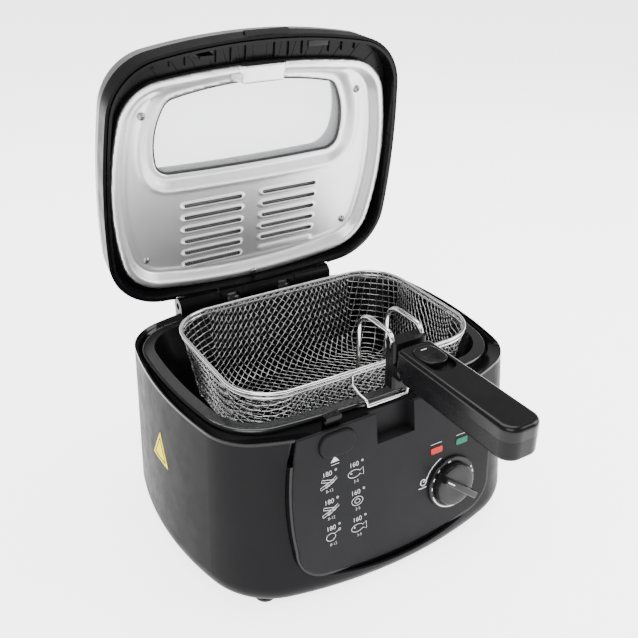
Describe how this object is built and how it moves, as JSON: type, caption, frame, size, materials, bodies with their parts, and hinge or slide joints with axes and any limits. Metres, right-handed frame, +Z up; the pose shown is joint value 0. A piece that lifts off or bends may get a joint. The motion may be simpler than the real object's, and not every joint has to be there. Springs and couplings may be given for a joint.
{
  "type": "deep fryer",
  "caption": "Box-shaped deep fryer with a hinged window lid held open, a wire basket hung up to drain, a folding basket handle and a dial panel.",
  "frame": {"origin": "on the floor, at the middle of the outline of the whole object with the lid open", "axes": "+X to the right seen from the front, +Y to the back, +Z up; the handle points to -Y"},
  "size_m": [0.283, 0.3736, 0.364],
  "materials": {
    "casing_plastic": "satin charcoal moulding",
    "collar_plastic": "glossy black moulding",
    "panel_plastic": "semi-gloss dark grey",
    "lid_plastic": "silver-grey moulding",
    "frame_plastic": "matt black moulding",
    "grip_plastic": "fine matt dark grey",
    "handle_plastic": "matt dark moulding",
    "plate_aluminium": "bright pressed sheet",
    "pot_coating": "dark non-stick coating",
    "chromed_wire": "polished chrome plate",
    "steel": "plain bright steel",
    "window_pane": "clear heat-proof pane",
    "black_rubber": "matt black",
    "seal_silicone": "matt dark grey silicone",
    "red_lamp": "glowing red lens",
    "green_lamp": "green lens",
    "yellow_label": "printed yellow film",
    "filter_fibre": "pale fibre pad",
    "terminal_plastic": "cream moulding"
  },
  "bodies": {
    "base": {"outer_casing": "casing_plastic", "base_pan": "frame_plastic", "rubber_feet": "black_rubber", "base_screws": "steel", "top_collar": "collar_plastic", "control_panel": "panel_plastic", "panel_trim": "collar_plastic", "red_lens": "red_lamp", "green_lens": "green_lamp", "indicator_lamps": "window_pane", "thermostat_body": "terminal_plastic", "thermostat_bulb": "steel", "oil_pot": "pot_coating", "pot_gasket": "seal_silicone", "heating_element": "steel", "element_plate": "plate_aluminium", "heat_shield": "steel", "terminal_block": "terminal_plastic", "thermal_fuse": "steel", "cord_gland": "black_rubber", "hot_surface_label": "yellow_label", "hinge_bracket": "frame_plastic", "latch_spring": "steel"},
    "knob": {"control_knob": "panel_plastic", "knob_shaft": "steel"},
    "button": {"release_button": "panel_plastic"},
    "latch": {"latch_hook": "frame_plastic"},
    "lid": {"lid_hinge_arm": "frame_plastic", "hinge_pin": "steel", "hinge_springs": "steel", "lid_shell": "lid_plastic", "lid_frame": "frame_plastic", "lid_seal": "seal_silicone", "lid_inner_plate": "plate_aluminium", "lid_plate_screws": "steel", "window_gasket": "seal_silicone", "inner_window": "window_pane", "outer_window": "window_pane", "filter_screen": "steel", "filter_pad": "filter_fibre", "vent_cover": "lid_plastic", "lid_grip": "frame_plastic", "latch_striker": "frame_plastic"},
    "basket": {"basket_mesh": "chromed_wire", "basket_rim": "chromed_wire", "basket_hook": "chromed_wire", "handle_wires": "chromed_wire", "handle_bracket": "handle_plastic", "handle_pivot_pin": "steel"},
    "handle": {"handle_lower_shell": "handle_plastic", "handle_upper_shell": "grip_plastic", "handle_screws": "steel"},
    "slider": {"handle_slide_button": "grip_plastic"}
  },
  "joints": [
    {"name": "lid_hinge", "type": "hinge", "parent": "base", "child": "lid", "pos_m": [0, 0.1473, 0.141], "axis": [-1, 0, 0], "range_deg": [-60, 0], "stiffness_Nm_per_rad": 0.5, "springref_deg": 57.3},
    {"name": "basket_lift", "type": "slide", "parent": "base", "child": "basket", "axis": [0, 0, 1], "range_m": [0, 0.13]},
    {"name": "handle_fold", "type": "hinge", "parent": "basket", "child": "handle", "pos_m": [0, -0.0847, 0.1775], "axis": [1, 0, 0], "range_deg": [0, 90]},
    {"name": "handle_slide", "type": "slide", "parent": "handle", "child": "slider", "axis": [0, -1, 0], "range_m": [0, 0.008], "stiffness_N_per_m": 150, "springref_m": -0.003},
    {"name": "knob_turn", "type": "hinge", "parent": "base", "child": "knob", "pos_m": [0.0476, -0.07704, 0.0602], "axis": [0, 0.9911, -0.1329], "range_deg": [-100, 170]},
    {"name": "button_press", "type": "slide", "parent": "base", "child": "button", "axis": [0, 0.9911, -0.1329], "range_m": [0, 0.003], "stiffness_N_per_m": 400, "springref_m": -0.002},
    {"name": "latch_slide", "type": "slide", "parent": "base", "child": "latch", "axis": [0, 1, 0], "range_m": [0, 0.003], "deforming": ["latch_spring"]}
  ],
  "couplings": [
    {"joint": "latch_slide", "follows": "button_press", "ratio": 1}
  ]
}
